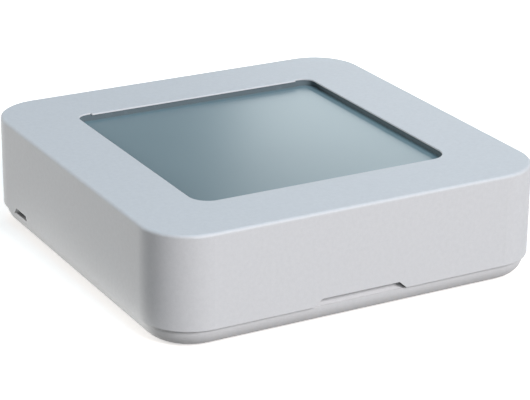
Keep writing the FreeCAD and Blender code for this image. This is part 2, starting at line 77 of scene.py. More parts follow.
# %% Signal
class Signal:
    """One output socket of a finish. Sums on it add Math nodes."""

    def __init__(self, finish, socket):
        self.finish = finish
        self.socket = socket

    def maths(self, operation, *values):
        return self.finish.node("ShaderNodeMath", {"operation": operation}, values)

    def __add__(self, other):
        return self.maths("ADD", self, other)

    def __radd__(self, other):
        return self.maths("ADD", other, self)

    def __sub__(self, other):
        return self.maths("SUBTRACT", self, other)

    def __rsub__(self, other):
        return self.maths("SUBTRACT", other, self)

    def __mul__(self, other):
        return self.maths("MULTIPLY", self, other)

    def __rmul__(self, other):
        return self.maths("MULTIPLY", other, self)

    def __truediv__(self, other):
        return self.maths("DIVIDE", self, other)

    def __pow__(self, other):
        return self.maths("POWER", self, other)

    def __abs__(self):
        return self.maths("ABSOLUTE", self)

    def above(self, edge, softness):
        """0 below edge, 1 above it, with a smooth step as wide as softness."""
        spread = {"interpolation_type": "SMOOTHSTEP"}
        ends = {0: self, 1: edge - softness / 2, 2: edge + softness / 2}
        return self.finish.node("ShaderNodeMapRange", spread, ends)

    def least(self, other):
        return self.maths("MINIMUM", self, other)

    def most(self, other):
        return self.maths("MAXIMUM", self, other)


def span(east, north):
    """The length of a step east and a step north."""
    return (east * east + north * north) ** 0.5


print("signals ready")

# %% [markdown]
# ## One material at a time
#
# A second class holds one material and makes every node through one method: its settings first,
# then the values or links of its sockets. The patterns that come back in many finishes, such as
# noise, bands and rubbed edges, are short methods on top of it. A Bevel node compared with the
# plain normal finds the edges without touching the mesh.

# %% Finish
BEVEL_SAMPLES = 4
EDGE_TURN = 0.06
EDGE_FADE = 0.10


class Finish:
    """One material. Distances in its patterns are metres on the object."""

    def __init__(self, name):
        self.material = bpy.data.materials.new(name)
        self.material.use_nodes = True
        self.tree = self.material.node_tree
        self.tree.nodes.clear()
        self.place = self.node("ShaderNodeTexCoord", out="Object")

    def node(self, kind, settings=(), sockets=(), out=0):
        made = self.tree.nodes.new(kind)
        for key, value in dict(settings).items():
            setattr(made, key, value)
        pairs = sockets.items() if isinstance(sockets, dict) else enumerate(sockets)
        for key, value in pairs:
            if isinstance(value, Signal):
                self.tree.links.new(value.socket, made.inputs[key])
            else:
                made.inputs[key].default_value = value
        return Signal(self, made.outputs[out]) if made.outputs else None

    def stretched(self, scale):
        """The object's own place, squeezed or stretched along its axes."""
        return self.node("ShaderNodeMapping", {}, {"Vector": self.place, "Scale": scale})

    def noise(self, size, detail=2.0, roughness=0.5, place=None):
        """Smooth noise from 0 to 1 whose blobs are about size metres across."""
        return self.node("ShaderNodeTexNoise", {},
                         {"Vector": place or self.place, "Scale": 1 / size,
                          "Detail": detail, "Roughness": roughness})

    def cells(self, size, randomness=1.0):
        """How far each point lies from the nearest of many scattered middles."""
        return self.node("ShaderNodeTexVoronoi", {},
                         {"Vector": self.place, "Scale": 1 / size, "Randomness": randomness})

    def bands(self, size, direction="X", profile="SIN"):
        """Straight bands that rise and fall from 0 to 1."""
        return self.node("ShaderNodeTexWave", {"bands_direction": direction, "wave_profile": profile},
                         {"Vector": self.place, "Scale": 1 / size, "Distortion": 0.0})

    def axis(self, name):
        """One coordinate of the object, in metres."""
        return self.node("ShaderNodeSeparateXYZ", {}, {0: self.place}, name)

    def offset(self, centre):
        """How far east and how far north of centre each point lies."""
        return self.axis("X") - centre.x, self.axis("Y") - centre.y

    def blend(self, mask, colour_a, colour_b):
        a = colour_a if isinstance(colour_a, Signal) else (*colour_a, 1.0)
        b = colour_b if isinstance(colour_b, Signal) else (*colour_b, 1.0)
        return self.node("ShaderNodeMix", {"data_type": "RGBA"}, {0: mask, 6: a, 7: b}, 2)

    def bump(self, height, depth, strength=1.0):
        """A normal from a height from 0 to 1 that stands for depth metres."""
        return self.node("ShaderNodeBump", {},
                         {"Height": height, "Distance": depth, "Strength": strength}, "Normal")

    def edges(self, radius):
        """1 on edges tighter than radius, 0 on flats."""
        rounded = self.node("ShaderNodeBevel", {"samples": BEVEL_SAMPLES}, {"Radius": radius})
        flat = self.node("ShaderNodeNewGeometry", out="Normal")
        turn = self.node("ShaderNodeVectorMath", {"operation": "DOT_PRODUCT"}, (rounded, flat), "Value")
        return (1.0 - turn).above(EDGE_TURN, EDGE_FADE)

    def surface(self, **sockets):
        """The shader itself. Socket names have _ for the space, and a colour is three numbers."""
        named = {key.replace("_", " "): value for key, value in sockets.items()}
        for key, value in named.items():
            if isinstance(value, tuple):
                named[key] = (*value, 1.0)
        shader = self.node("ShaderNodeBsdfPrincipled", {}, named)
        self.node("ShaderNodeOutputMaterial", {}, {"Surface": shader})
        return self.material


print("finishes ready")

# %% [markdown]
# A shader works with linear colours. Some colours are easier to pick as they look on screen, so one
# helper turns those linear, one makes greys, and one scales a colour for its worn or dusty partner.

# %% Colours
def grey(value, warmth=0.0):
    """A linear grey, a little warmer or cooler."""
    return (value * (1 + warmth), value, value * (1 - warmth))


def shade(r, g, b):
    """A colour picked as it looks on screen, from 0 to 1, turned linear for the shader."""
    return tuple(x / 12.92 if x <= 0.04045 else ((x + 0.055) / 1.055) ** 2.4 for x in (r, g, b))


def scaled(tone, by, lift=0.0):
    """The same colour, darker or lighter."""
    return tuple(min(1.0, x * by + lift) for x in tone)


print("mid grey on screen is linear", round(shade(0.5, 0.5, 0.5)[0], 3))

# %% [markdown]
# ## White case plastic
#
# Both shells are moulded in the same white plastic from a finely eroded tool. What shows is a fine
# grain of slightly duller specks, a hardly visible cloudiness, and a slight polish on the edges
# where fingers rub. Two sizes of noise make the grain. The cover differs only by being a bit shinier.

# %% Case plastic
CASE_WHITE = grey(0.66, -0.005)
GRAIN = 0.16 * MM
COARSE_GRAIN = 0.55 * MM
GRAIN_DEPTH = 0.022 * MM
SPECK_CONTRAST = 2.2
CLOUD = 9 * MM
RUBBED_RADIUS = 0.25 * MM


def case_plastic(name, shine):
    f = Finish(name)
    fine = f.noise(GRAIN, 3.0, 0.6)
    coarse = f.noise(COARSE_GRAIN, 2.0, 0.5)
    cloud = f.noise(CLOUD, 3.0, 0.5)
    speck = fine * 0.5 + coarse * 0.5
    rubbed = f.edges(RUBBED_RADIUS)
    colour = f.blend((speck - 0.5) * SPECK_CONTRAST + 0.5, scaled(CASE_WHITE, 0.90), CASE_WHITE)
    colour = f.blend(cloud.above(0.55, 0.5) * 0.25, colour, scaled(CASE_WHITE, 0.95))
    rough = shine + (fine - 0.5) * 0.16 + (cloud - 0.5) * 0.08 - rubbed * 0.10
    return f.surface(Base_Color=colour, Roughness=rough, Specular_IOR_Level=0.45,
                     Normal=f.bump(speck, GRAIN_DEPTH, 0.6))


white_case = case_plastic("white_case_plastic", shine=0.52)
white_cover = case_plastic("white_cover_plastic", shine=0.48)
print("case plastic:", white_case.name, white_cover.name)

# %% [markdown]
# ## The display
#
# A reflective segment display that is switched off is a stack: a satin anti-glare film, two sheets
# of glass and a brushed reflector. From outside it reads as one even grey-green field with a soft
# sheen, inside a narrow border of bare glass. The film is a satin base under a slightly smoother
# coat. Its colour is painted lighter towards the back right as a painted sheen, with a little random
# tone drift on top. The glass has no coat, a weaker gloss and no painted sheen, so the border stays
# darker where the film shines.

# %% Display finishes
PEBBLE = 0.05 * MM
PAINTED_SHEEN_SPAN = 50 * MM


def polariser_film():
    f = Finish("polariser_film")
    pebble = f.noise(PEBBLE, 2.0, 0.5)
    drift = f.noise(14 * MM, 1.0, 0.4)
    # Painted sheen: the colour lightens from the front left to the back right, where the light falls
    # brighter; drift adds a little random tone.
    painted_sheen_and_tone = (f.axis("X") * 0.8 + f.axis("Y") * 0.6) / PAINTED_SHEEN_SPAN + 0.5 + (drift - 0.5) * 0.2
    colour = f.blend(painted_sheen_and_tone, shade(0.44, 0.52, 0.54), shade(0.55, 0.63, 0.65))
    return f.surface(Base_Color=colour, Roughness=0.34 + (pebble - 0.5) * 0.06, Specular_IOR_Level=0.6,
                     Coat_Weight=0.6, Coat_Roughness=0.26, Normal=f.bump(pebble, 0.002 * MM, 0.4))


def display_glass():
    f = Finish("display_glass")
    haze = f.noise(3 * MM, 2.0, 0.5)
    colour = f.blend(haze, shade(0.46, 0.54, 0.56), shade(0.49, 0.57, 0.59))
    return f.surface(Base_Color=colour, Roughness=0.34 + haze * 0.06, Specular_IOR_Level=0.25)


def reflector_film():
    """Brushed metal film: noise that is fifty times longer along X."""
    f = Finish("reflector_film")
    streak = f.noise(0.03 * MM, 3.0, 0.6, f.stretched((0.02, 1.0, 1.0)))
    colour = f.blend(streak, grey(0.42), grey(0.60))
    return f.surface(Base_Color=colour, Metallic=0.8, Roughness=0.30 + streak * 0.15,
                     Normal=f.bump(streak, 0.002 * MM))


film = polariser_film()
glass = display_glass()
reflector = reflector_film()
print("display:", film.name, glass.name, reflector.name)

# %% [markdown]
# ## Rubber
#
# The gasket under the window's lip and the boot round the sensors are silicone rubber, the gasket
# slate grey and the boot nearly black. Both are matte, with a faint mould grain and a little dust.
# The zebra strip is rubber too, but it is built from layers that conduct and layers that don't, so
# it shows fine stripes.

# %% Rubber finishes
def silicone_rubber(name, tone):
    """Matte silicone rubber. tone is a linear colour."""
    f = Finish(name)
    grain = f.noise(0.12 * MM, 3.0, 0.6)
    dust = f.noise(1.6 * MM, 4.0, 0.7).above(0.62, 0.2)
    colour = f.blend(dust * 0.25, tone, scaled(tone, 1.6, 0.02))
    return f.surface(Base_Color=colour, Roughness=0.72 + (grain - 0.5) * 0.2, Specular_IOR_Level=0.35,
                     Normal=f.bump(grain, 0.01 * MM, 0.5))


def zebra_rubber():
    f = Finish("zebra_rubber")
    stripe = f.bands(2.0 * MM)
    grain = f.noise(0.1 * MM)
    colour = f.blend(stripe.above(0.5, 0.2), grey(0.03), grey(0.42, 0.02))
    return f.surface(Base_Color=colour, Roughness=0.6 + (grain - 0.5) * 0.2,
                     Normal=f.bump(stripe, 0.01 * MM, 0.4))


gasket_rubber = silicone_rubber("gasket_rubber", (0.125, 0.16, 0.175))
boot_rubber = silicone_rubber("boot_rubber", grey(0.018))
zebra = zebra_rubber()
print("rubber:", gasket_rubber.name, boot_rubber.name, zebra.name)

# %% [markdown]
# A CAD node keeps its mesh and its place. Dressing it only means that its list of materials is
# emptied and the new finish is put in.

# %% Dress the outer nodes
def wear(node, material):
    """A CAD node keeps its shape and takes a finish."""
    mesh = nodes[node].data
    mesh.materials.clear()
    mesh.materials.append(material)


for node, finish in {
    "front_housing": white_case, "rear_cover": white_cover, "front_polariser": film,
    "lcd_front_glass": glass, "lcd_rear_glass": glass, "lcd_reflector": reflector,
    "display_gasket": gasket_rubber, "sensor_duct": boot_rubber, "zebra_strip": zebra,
}.items():
    wear(node, finish)
print("outer nodes dressed")

# %% [markdown]
# ## Finishes for the inside
#
# With the cover off, the inside shows: a green circuit board, nickel and zinc, black and natural
# plastics, dull epoxy chips and pale ceramics. Each finish is one function with a few arguments, so
# that pieces of the same kind differ by a number and not by a copy. The plastics come first.

# %% Moulded plastics
def moulded_plastic(name, tone, shine, grain_size=0.10 * MM):
    """Plain moulding: fine grain, faint flow clouds, and edges rubbed a little shinier."""
    f = Finish(name)
    grain = f.noise(grain_size, 3.0, 0.6)
    flow = f.noise(4 * MM, 3.0, 0.6)
    rubbed = f.edges(0.12 * MM)
    colour = f.blend(flow * 0.35 + rubbed * 0.25, tone, scaled(tone, 1.25, 0.02))
    rough = shine + (grain - 0.5) * 0.18 + (flow - 0.5) * 0.10 - rubbed * 0.12
    return f.surface(Base_Color=colour, Roughness=rough, Specular_IOR_Level=0.45,
                     Normal=f.bump(grain, 0.006 * MM, 0.5))


SMALL_PART_GRAIN = 0.06 * MM
holder_plastic = moulded_plastic("holder_plastic", grey(0.028), 0.42)
frame_plastic = moulded_plastic("frame_plastic", (0.62, 0.63, 0.61), 0.46)
button_plastic = moulded_plastic("button_plastic", grey(0.05), 0.32, SMALL_PART_GRAIN)
switch_plastic = moulded_plastic("switch_plastic", grey(0.022), 0.45, SMALL_PART_GRAIN)
seal_plastic = moulded_plastic("seal_plastic", (0.10, 0.10, 0.11), 0.36)
print("plastics:", holder_plastic.name, frame_plastic.name, button_plastic.name)

# %% [markdown]
# Plated sheet keeps fine lines from the rolling mill. Noise that is stretched along one axis draws
# them, and a cloudier noise lays a faint tarnish over it. The edges stay brighter.

# %% Sheet metals
def sheet_metal(name, tone, shine, stretch, tarnish):
    """Plated sheet: fine rolling lines along one axis, faint tarnish, brighter edges."""
    f = Finish(name)
    lines = f.noise(0.05 * MM, 3.0, 0.65, f.stretched(stretch))
    bloom = f.noise(1.1 * MM, 4.0, 0.6).above(0.52, 0.35)
    worn = f.edges(0.08 * MM)
    colour = f.blend(bloom * tarnish + (0.5 - lines) * 0.3, tone, scaled(tone, 1 - 0.45 * tarnish))
    rough = shine + (lines - 0.5) * 0.20 + bloom * 0.12 - worn * 0.08
    return f.surface(Base_Color=colour, Roughness=rough, Metallic=1.0 - bloom * 0.06,
                     Normal=f.bump(lines, 0.003 * MM, 0.5))


screw_zinc = sheet_metal("screw_zinc", (0.60, 0.61, 0.63), 0.26, (1, 1, 0.1), 0.4)
spring_nickel = sheet_metal("spring_nickel", (0.66, 0.64, 0.59), 0.24, (0.05, 1, 1), 0.35)
mesh_steel = sheet_metal("mesh_steel", (0.13, 0.13, 0.11), 0.45, (1, 0.1, 1), 0.6)
lid_steel = sheet_metal("lid_steel", (0.70, 0.69, 0.66), 0.22, (0.08, 1, 1), 0.3)
solder_tin = sheet_metal("solder_tin", (0.68, 0.69, 0.70), 0.30, (1, 1, 1), 0.5)
print("sheet metals:", screw_zinc.name, spring_nickel.name, mesh_steel.name, lid_steel.name)

# %% [markdown]
# A coin cell is pressed from steel and shows fine rings round its middle. The distance from the
# middle, fed to the noise as its only coordinate, gives the rings. The can also carries an embossed
# plus sign in a ring, which masks and a Bump node raise.

# %% Coin cell metals
PLUS_HALF = 3.2 * MM
PLUS_SLIMNESS = 7
MARK_RING = 3.1


def turned_metal(name, tone, shine, centre, mark=0.0):
    """Metal with rings round a centre. mark is the half length of an embossed plus sign."""
    f = Finish(name)
    east, north = f.offset(centre)
    radius = span(east, north)
    rings = f.noise(0.035 * MM, 2.0, 0.6, f.node("ShaderNodeCombineXYZ", {}, {"X": radius}))
    smear = f.noise(2.2 * MM, 4.0, 0.6)
    raised = rings * 0.15
    if mark:
        longer = abs(east).most(abs(north))
        shorter = abs(east).least(abs(north))
        arms = (1.0 - longer.above(mark, 0.2 * MM)) * (1.0 - shorter.above(mark / PLUS_SLIMNESS, 0.15 * MM))
        border = 1.0 - abs(radius - MARK_RING * mark).above(0.18 * MM, 0.12 * MM)
        raised = raised + arms.most(border * 0.8)
    colour = f.blend(smear.above(0.5, 0.5) * 0.4, tone, scaled(tone, 0.78))
    rough = shine + (rings - 0.5) * 0.16 + smear.above(0.55, 0.3) * 0.10
    return f.surface(Base_Color=colour, Roughness=rough, Metallic=1.0, Anisotropic=0.4,
                     Normal=f.bump(raised, 0.05 * MM, 0.7))


cell_low, cell_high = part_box("coin_cell_can")
cell_centre = (cell_low + cell_high) / 2
can_steel = turned_metal("can_steel", (0.66, 0.66, 0.67), 0.24, cell_centre, mark=PLUS_HALF)
cap_steel = turned_metal("cap_steel", (0.60, 0.60, 0.61), 0.30, cell_centre)
print("cell centre in mm:", [round(x / MM, 2) for x in cell_centre])

# %% [markdown]
# The board's finish is layered the way a real one is made. Glass weave shows faintly through the
# green mask, wide copper areas lie under it with straight tracks between them, and small plated
# holes stitch the copper together. Cells of a Voronoi pattern with no randomness give the even grid
# of holes, and a triangle wave gives the tracks. The holes are painted near black as painted shade
# inside them. The cut edge of the board is a little yellower.

# %% Circuit board finish
WEAVE = 1.4 * MM
COPPER_AREA = 7 * MM
TRACK_PITCH = 6.3 * MM
HOLE_PITCH = 1.9 * MM
BOARD_RIM = 0.3 * MM
board_low, board_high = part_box("circuit_board")


def solder_mask():
    f = Finish("solder_mask")
    weave = f.bands(WEAVE, "DIAGONAL")
    pour = f.noise(COPPER_AREA, 0.0, 0.5).above(0.5, 0.02)
    tracks = f.bands(TRACK_PITCH, profile="TRI").above(0.62, 0.05) * (1.0 - pour)
    copper = pour.most(tracks)
    grid = f.cells(HOLE_PITCH, randomness=0.0)
    drilled = 1.0 - grid.above(0.12, 0.02)
    collar = (1.0 - grid.above(0.21, 0.03)) * pour
    mask = f.blend(copper, (0.006, 0.085, 0.036), (0.016, 0.160, 0.066))
    mask = f.blend(weave * 0.10, mask, (0.05, 0.20, 0.09))
    mask = f.blend(collar, mask, (0.70, 0.52, 0.24))
    # Painted shade: the drilled holes are coloured near black for the shade inside them.
    mask = f.blend(drilled * pour, mask, grey(0.01))
    rim = abs(f.axis("X")).most(abs(f.axis("Y"))).above(board_high.x - BOARD_RIM, 0.1 * MM)
    mask = f.blend(rim * 0.5, mask, (0.42, 0.36, 0.18))
    raised = copper * 0.6 + collar * 0.4 - drilled * pour + weave * 0.05
    return f.surface(Base_Color=mask, Roughness=0.26 + weave * 0.08 + collar * 0.1,
                     Metallic=collar * (1.0 - drilled) * 0.9, Coat_Weight=0.5 - collar * 0.5,
                     Coat_Roughness=0.12, Normal=f.bump(raised, 0.035 * MM, 0.6))


board_mask = solder_mask()
print("board in mm:", [round(x / MM, 2) for x in board_high - board_low])

# %% [markdown]
# A chip's body is black epoxy full of fine silica, so it is dull and a little uneven, with a sunken
# dot by its first terminal. The display driver also shows its plated leads round the body.

# %% Chip epoxy
DOT_PLACE = 0.58


def chip_epoxy(name, low, high, dot, shine, leads=0.0):
    """Black epoxy with a sunken dot by pin 1. leads is how far plated leads reach out of the body."""
    f = Finish(name)
    half = (high - low) / 2
    east, north = f.offset((low + high) / 2)
    grain = f.noise(0.07 * MM, 3.0, 0.7)
    smoke = f.noise(1.5 * MM, 2.0, 0.5)
    from_dot = span(east + half.x * DOT_PLACE, north - half.y * DOT_PLACE)
    well = 1.0 - from_dot.above(dot, 0.06 * MM)
    colour = f.blend(smoke * 0.5 + grain * 0.2, grey(0.022), grey(0.050))
    colour = f.blend(well * 0.5, colour, grey(0.11))
    rough = shine + (grain - 0.5) * 0.2 - well * 0.15
    metal = 0.0
    if leads:
        metal = abs(east).most(abs(north)).above(half.x - leads, 0.02 * MM)
        colour = f.blend(metal, colour, (0.66, 0.66, 0.67))
        rough = rough - metal * 0.25
    return f.surface(Base_Color=colour, Roughness=rough, Metallic=metal,
                     Normal=f.bump(grain * 0.3 - well, 0.03 * MM, 0.6))


driver_epoxy = chip_epoxy("driver_epoxy", *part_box("lcd_driver"), dot=0.35 * MM, shine=0.55, leads=0.5 * MM)
processor_epoxy = chip_epoxy("processor_epoxy", *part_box("microcontroller"), dot=0.30 * MM, shine=0.50)
print("epoxy:", driver_epoxy.name, processor_epoxy.name)

# %% [markdown]
# Capacitors and resistors are fired ceramic: matte, evenly tinted, with fine darker grains. The
# antenna is a paler ceramic block with plated ends and printed bars between them.

# %% Ceramics
def ceramic(name, tone, speckle):
    """Fired ceramic: matte, evenly tinted, with fine darker grains."""
    f = Finish(name)
    grains = f.cells(0.05 * MM)
    cloud = f.noise(0.4 * MM, 3.0, 0.6)
    colour = f.blend(grains * speckle + cloud * 0.15, tone, scaled(tone, 0.6))
    return f.surface(Base_Color=colour, Roughness=0.50 + (cloud - 0.5) * 0.2,
                     Normal=f.bump(grains, 0.004 * MM, 0.5))


def antenna_ceramic(low, high):
    """Pale ceramic block with plated ends and printed bars between them."""
    f = Finish("antenna_ceramic")
    half = (high - low) / 2
    east, north = f.offset((low + high) / 2)
    cloud = f.noise(0.5 * MM, 3.0, 0.6)
    bars = f.bands(5.0 * MM, profile="TRI").above(0.55, 0.08)
    inside = 1.0 - abs(north).above(half.y * 0.72, 0.05 * MM)
    ends = abs(east).above(half.x * 0.84, 0.03 * MM)
    silver = (bars * inside * (1.0 - ends)).most(ends)
    tone = f.blend(cloud * 0.3, (0.50, 0.58, 0.66), (0.40, 0.48, 0.58))
    return f.surface(Base_Color=f.blend(silver, tone, (0.72, 0.70, 0.66)), Metallic=silver,
                     Roughness=0.48 - silver * 0.16 + (cloud - 0.5) * 0.1,
                     Normal=f.bump(silver + cloud * 0.1, 0.012 * MM, 0.6))


antenna_finish = antenna_ceramic(*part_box("chip_antenna"))
capacitor_ceramic = ceramic("capacitor_ceramic", (0.42, 0.27, 0.15), 0.4)
resistor_ceramic = ceramic("resistor_ceramic", (0.75, 0.75, 0.73), 0.2)
resistor_glaze = ceramic("resistor_glaze", grey(0.03), 0.3)
print("ceramics:", antenna_finish.name, capacitor_ceramic.name, resistor_ceramic.name)

# %% [markdown]
# Both sensors wear a drawn metal lid with a round port at the middle for the air. The gas sensor's
# open port is painted near black as painted shade inside the hole, and the humidity sensor's port
# is closed by a pale membrane.

# %% Sensor lids
def sensor_lid(name, low, high, port, port_tone):
    """A drawn metal lid with a round port at its middle. port is the port's radius."""
    f = Finish(name)
    hole = 1.0 - span(*f.offset((low + high) / 2)).above(port, 0.04 * MM)
    lines = f.noise(0.06 * MM, 3.0, 0.6)
    smear = f.noise(0.8 * MM, 3.0, 0.6)
    colour = f.blend(smear * 0.4, (0.58, 0.57, 0.55), (0.42, 0.42, 0.41))
    rough = 0.28 + (lines - 0.5) * 0.2 + hole * 0.3
    return f.surface(Base_Color=f.blend(hole, colour, port_tone), Metallic=1.0 - hole, Roughness=rough,
                     Normal=f.bump(lines, 0.003 * MM, 0.5))


# Painted shade: the gas port's near-black colour stands for the shade inside its open hole; the humidity
# port's pale colour is its membrane.
gas_lid = sensor_lid("gas_lid", *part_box("gas_sensor"), 0.5 * MM, grey(0.02))
humidity_lid = sensor_lid("humidity_lid", *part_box("humidity_sensor"), 0.6 * MM, (0.55, 0.55, 0.50))
print("sensor lids:", gas_lid.name, humidity_lid.name)

# %% [markdown]
# Every inner piece whose CAD shape is good enough takes its finish now. The others are rebuilt in
# the next steps.

# %% Dress the inner nodes
for node, finish in {
    "circuit_board": board_mask, "board_screws": screw_zinc, "display_frame": frame_plastic,
    "cell_holder": holder_plastic, "positive_contact": spring_nickel, "coin_cell_can": can_steel,
    "coin_cell_cap": cap_steel, "coin_cell_seal": seal_plastic, "inlet_mesh": mesh_steel,
    "gas_sensor": gas_lid, "humidity_sensor": humidity_lid, "microcontroller": processor_epoxy,
    "chip_antenna": antenna_finish, "lcd_driver": driver_epoxy, "set_switch": switch_plastic,
    "set_button": button_plastic,
}.items():
    wear(node, finish)
print("inner nodes dressed")

# %% [markdown]
# ## Small pieces rebuilt by hand
#
# The CAD stand-ins of the foam pad, the chips with metal ends, the crystal and the springy leaf are
# plain. They are rebuilt here with bmesh operators. Their places come from the CAD solids: a node
# that holds several solids is taken apart into islands, and each island's box places one new piece.

# %% Find the places of solids
MERGE = 0.001 * MM


def corners(points):
    """The lowest and highest corner of some points."""
    low = Vector([min(p[i] for p in points) for i in range(3)])
    high = Vector([max(p[i] for p in points) for i in range(3)])
    return low, high


def solid_boxes(node):
    """The box of each separate solid in a CAD node."""
    bm = bmesh.new()
    bm.from_mesh(nodes[node].data)
    bmesh.ops.remove_doubles(bm, verts=bm.verts, dist=MERGE)
    left = set(bm.verts)
    boxes = []
    while left:
        island = {left.pop()}
        edge_of_island = set(island)
        while edge_of_island:
            near = {e.other_vert(v) for v in edge_of_island for e in v.link_edges}
            edge_of_island = near - island
            island |= edge_of_island
        left -= island
        boxes.append(corners([v.co for v in island]))
    bm.free()
    return sorted(boxes, key=lambda box: tuple(box[0]))


print("capacitors:", len(solid_boxes("chip_capacitors")), "resistors:", len(solid_boxes("chip_resistors")))

# %% [markdown]
# Three shapes come back in the small pieces: a block that may be rounded and turned, a flat disc
# and a flat ring. The ring is spun from its section. The last helper turns a finished bmesh into an
# object that rides on one of the monitor's bodies.

# %% Helpers for new pieces
DISC_SIDES = 24
RING_STEPS = 96


def add_block(bm, low, high, rounding=0.0, material=0, turn=0.0):
    """A block between two corners, its edges rounded, turned about Z round its own middle."""
    middle, size = (low + high) / 2, high - low
    place = Matrix.Translation(middle) @ Matrix.Rotation(turn, 4, "Z") @ Matrix.Diagonal((*size, 1.0))
    verts = bmesh.ops.create_cube(bm, size=1.0, matrix=place)["verts"]
    for face in {face for v in verts for face in v.link_faces}:
        face.material_index = material
    if rounding:
        edges = {e for v in verts for e in v.link_edges}
        bmesh.ops.bevel(bm, geom=list(edges), offset=rounding, segments=2, profile=0.5,
                        affect="EDGES", material=-1)
    return verts


def add_disc(bm, centre, radius, depth):
    """A flat round plate standing on centre, depth high along +Z."""
    place = Matrix.Translation(centre + Vector((0, 0, depth / 2)))
    bmesh.ops.create_cone(bm, cap_ends=True, segments=DISC_SIDES, radius1=radius, radius2=radius,
                          depth=depth, matrix=place)


def add_ring(bm, centre, inner, outer, depth):
    """A flat ring standing on centre, made by spinning its section round Z."""
    section = [(inner, 0), (outer, 0), (outer, depth), (inner, depth)]
    face = bm.faces.new([bm.verts.new(centre + Vector((r, 0, z))) for r, z in section])
    geom = list(face.verts) + list(face.edges) + [face]
    bmesh.ops.spin(bm, geom=geom, cent=centre, axis=(0, 0, 1), angle=math.tau, steps=RING_STEPS,
                   use_merge=True)


def finish_piece(name, bm, materials, body, smooth=False):
    """Turn a bmesh into a piece that rides on a body."""
    bmesh.ops.remove_doubles(bm, verts=bm.verts, dist=MERGE / 5)
    bmesh.ops.recalc_face_normals(bm, faces=bm.faces)
    mesh = bpy.data.meshes.new(name)
    bm.to_mesh(mesh)
    bm.free()
    for material in materials:
        mesh.materials.append(material)
    if smooth:
        mesh.shade_smooth()
    made = bpy.data.objects.new(name, mesh)
    bpy.context.scene.collection.objects.link(made)
    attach(made, body)
    print(name + ":", len(mesh.polygons), "faces")
    return made


print("piece helpers ready")

# %% [markdown]
# The pad under the coin cell is a disc of soft grey foam that is glued to the cover. A real one is
# die-cut: its rim bellies out a little and its face is slightly crowned where the cell presses. Its
# half section is a short curve worked out by a formula, and a spin makes the disc.

# %% Foam pad
BELLY = 0.16 * MM
BELLY_FULLNESS = 0.6
CROWN = 0.12 * MM
RIM_POINTS = 11
PAD_STEPS = 72
pad_low, pad_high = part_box("cell_pad")
pad_centre = Vector(((pad_low.x + pad_high.x) / 2, (pad_low.y + pad_high.y) / 2, pad_low.z))
pad_radius = (pad_high.x - pad_low.x) / 2
pad_height = pad_high.z - pad_low.z


def foam_finish():
    f = Finish("grey_foam")
    cloud = f.noise(2.5 * MM, 3.0, 0.6)
    pores = f.cells(0.34 * MM).above(0.35, 0.5) * 0.6 + f.cells(0.13 * MM) * 0.4
    # Painted shade: the pore centres are coloured darker for the shade inside the open cells.
    colour = f.blend(pores * 0.8 + cloud * 0.2, grey(0.05, 0.02), grey(0.19, 0.02))
    return f.surface(Base_Color=colour, Roughness=0.85 + (cloud - 0.5) * 0.1, Specular_IOR_Level=0.2,
                     Sheen_Weight=0.3, Sheen_Roughness=0.5, Normal=f.bump(pores, 0.08 * MM, 0.8))


profile = [(0.0, 0.0)]
for i in range(RIM_POINTS):
    up = i / (RIM_POINTS - 1)
    bulge = math.sin(math.pi * up) ** BELLY_FULLNESS
    profile.append((pad_radius - BELLY * (1 - bulge), up * (pad_height - CROWN)))
for i in range(1, RIM_POINTS):
    inward = i / (RIM_POINTS - 1)
    rise = CROWN * math.sin(math.pi / 2 * inward)
    profile.append(((pad_radius - BELLY) * (1 - inward), pad_height - CROWN + rise))

bm = bmesh.new()
rim = [bm.verts.new(pad_centre + Vector((r, 0, z))) for r, z in profile]
spokes = [bm.edges.new(pair) for pair in zip(rim, rim[1:])]
bmesh.ops.spin(bm, geom=rim + spokes, cent=pad_centre, axis=(0, 0, 1), angle=math.tau,
               steps=PAD_STEPS, use_merge=True)
foam_pad = finish_piece("foam_pad", bm, [foam_finish()], "rear_cover", smooth=True)
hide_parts("cell_pad")

# %% [markdown]
# A two-pole chip is a ceramic bar whose two ends are dipped in tin. A resistor also has a dark
# glaze on the side that faces away from the board. The long side of each island's box tells which
# way the chip lies.

# %% Chips with two poles
END = 0.22 * MM
STEP = 0.015 * MM
ROUND = 0.035 * MM


def chip_way(low, high):
    """0 when a chip lies along X, 1 when it lies along Y."""
    return 0 if high.x - low.x > high.y - low.y else 1


def end_caps(low, high):
    """The boxes of a chip's two tinned ends."""
    way = chip_way(low, high)
    first_high, second_low = high.copy(), low.copy()
    first_high[way] = low[way] + END
    second_low[way] = high[way] - END
    return [(low, first_high), (second_low, high)]


def add_glaze(bm, low, high):
    """A thin plate on a chip's lower face, between its tinned ends."""
    way = chip_way(low, high)
    inset = Vector((STEP, STEP, 0))
    inset[way] += END
    coat_low, coat_high = low + inset, high - inset
    coat_low.z = low.z + STEP / 3
    coat_high.z = low.z + 2 * STEP
    add_block(bm, coat_low, coat_high, material=2)


def two_pole_chips(name, node, body_finish, glaze=None):
    bm = bmesh.new()
    inset = Vector((STEP, STEP, STEP))
    for low, high in solid_boxes(node):
        add_block(bm, low + inset, high - inset, ROUND)
        for cap_low, cap_high in end_caps(low, high):
            add_block(bm, cap_low, cap_high, ROUND, material=1)
        if glaze:
            add_glaze(bm, low, high)
    finishes = [body_finish, solder_tin] + ([glaze] if glaze else [])
    return finish_piece(name, bm, finishes, "housing")


capacitors = two_pole_chips("capacitor_chips", "chip_capacitors", capacitor_ceramic)
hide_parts("chip_capacitors")
resistors = two_pole_chips("resistor_chips", "chip_resistors", resistor_ceramic,
                           resistor_glaze)
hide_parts("chip_resistors")

# %% [markdown]
# The crystal is a drawn metal lid welded to a flat base with a thin flange. The lid's edges are
# well rounded and the flange's are nearly square, so two blocks with different rounding make it.

